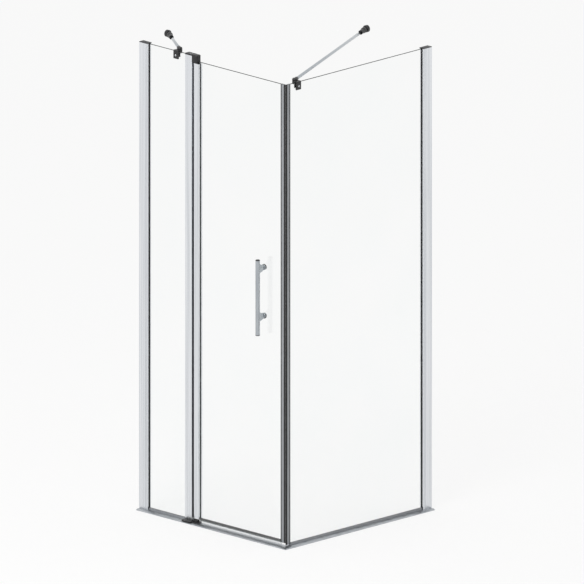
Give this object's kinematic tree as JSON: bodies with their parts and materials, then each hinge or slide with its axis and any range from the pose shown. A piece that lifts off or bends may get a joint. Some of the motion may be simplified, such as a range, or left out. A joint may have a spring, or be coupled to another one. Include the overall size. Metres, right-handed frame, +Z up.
{
  "type": "hinged corner shower door enclosure",
  "caption": "Corner shower enclosure: a glass door that swings outward on a pivot post, a narrow in-line panel, a side panel, wall profiles and stabiliser bars.",
  "frame": {"origin": "centre of the enclosure's bounding box at floor level, so z = 0 is the top of the tray", "axes": "+Z up; the door run lies along X and faces -Y; the side run lies along Y and faces +X; the left wall is at the low X end and the back wall at the high Y end"},
  "size_m": [0.872, 0.8884, 2.0205],
  "materials": {
    "bright_aluminium": "bright anodised extrusion, fine lengthwise die lines",
    "satin_aluminium": "satin anodised low threshold strip",
    "black_fitting": "black powder-coated zinc casting",
    "black_plastic": "black moulded plastic",
    "clear_glass": "clear toughened 6 mm pane, polished edges with a green-grey tint",
    "black_gasket": "black extruded glazing gasket",
    "translucent_seal": "milky grey translucent PVC seal",
    "magnet": "dark flexible magnetic strip",
    "chrome_bar": "polished round tube",
    "stainless_screw": "stainless steel screw",
    "white_nylon": "white turned nylon bush",
    "clear_washer": "clear plastic washer"
  },
  "bodies": {
    "frame": {"threshold_front": "satin_aluminium", "threshold_side": "satin_aluminium", "threshold_corner_key": "black_plastic", "wall_profile_left": "bright_aluminium", "wall_profile_right": "bright_aluminium", "glazing_profile_left": "bright_aluminium", "glazing_profile_right": "bright_aluminium", "wall_profile_cap_left": "black_plastic", "wall_profile_cap_right": "black_plastic", "glazing_gaskets_left": "black_gasket", "glazing_gaskets_right": "black_gasket", "profile_screws_left": "stainless_screw", "profile_screws_right": "stainless_screw", "inline_panel_glass": "clear_glass", "side_panel_glass": "clear_glass", "inline_panel_bed_seal": "translucent_seal", "side_panel_bed_seal": "translucent_seal", "side_magnetic_seal": "translucent_seal", "side_magnet_strip": "magnet", "hinge_post": "bright_aluminium", "post_glazing_gaskets": "black_gasket", "hinge_gap_seal": "black_gasket", "top_hinge_bracket": "black_fitting", "bottom_hinge_bracket": "black_fitting", "top_bracket_screws": "stainless_screw", "bottom_bracket_screws": "stainless_screw", "top_pivot_pin": "stainless_screw", "bottom_pivot_pin": "stainless_screw", "pivot_thrust_washer": "white_nylon", "short_bar_clamp": "black_fitting", "short_bar_clamp_pads": "clear_washer", "short_bar_clamp_screw": "stainless_screw", "short_bar_knuckle": "black_fitting", "short_bar_knuckle_screw": "stainless_screw", "short_bar_tube": "chrome_bar", "short_bar_wall_socket": "black_fitting", "short_bar_wall_flange": "black_fitting", "long_bar_clamp": "black_fitting", "long_bar_clamp_pads": "clear_washer", "long_bar_clamp_screw": "stainless_screw", "long_bar_knuckle": "black_fitting", "long_bar_knuckle_screw": "stainless_screw", "long_bar_tube": "chrome_bar", "long_bar_wall_socket": "black_fitting", "long_bar_wall_flange": "black_fitting"},
    "door": {"door_stile": "bright_aluminium", "stile_bottom_plug": "black_plastic", "stile_top_plug": "black_plastic", "bottom_pivot_bush": "white_nylon", "top_pivot_bush": "white_nylon", "door_glazing_gaskets": "black_gasket", "door_glass": "clear_glass", "door_magnetic_seal": "translucent_seal", "door_magnet_strip": "magnet", "door_drip_seal": "translucent_seal", "handle_bar": "chrome_bar", "handle_end_caps": "black_plastic", "handle_brackets": "chrome_bar", "handle_washers": "clear_washer", "handle_screws": "chrome_bar"}
  },
  "joints": [
    {"name": "door_hinge", "type": "hinge", "parent": "frame", "child": "door", "pos_m": [-0.1125, -0.39675, 1], "axis": [0, 0, -1], "range_deg": [0, 105]}
  ]
}
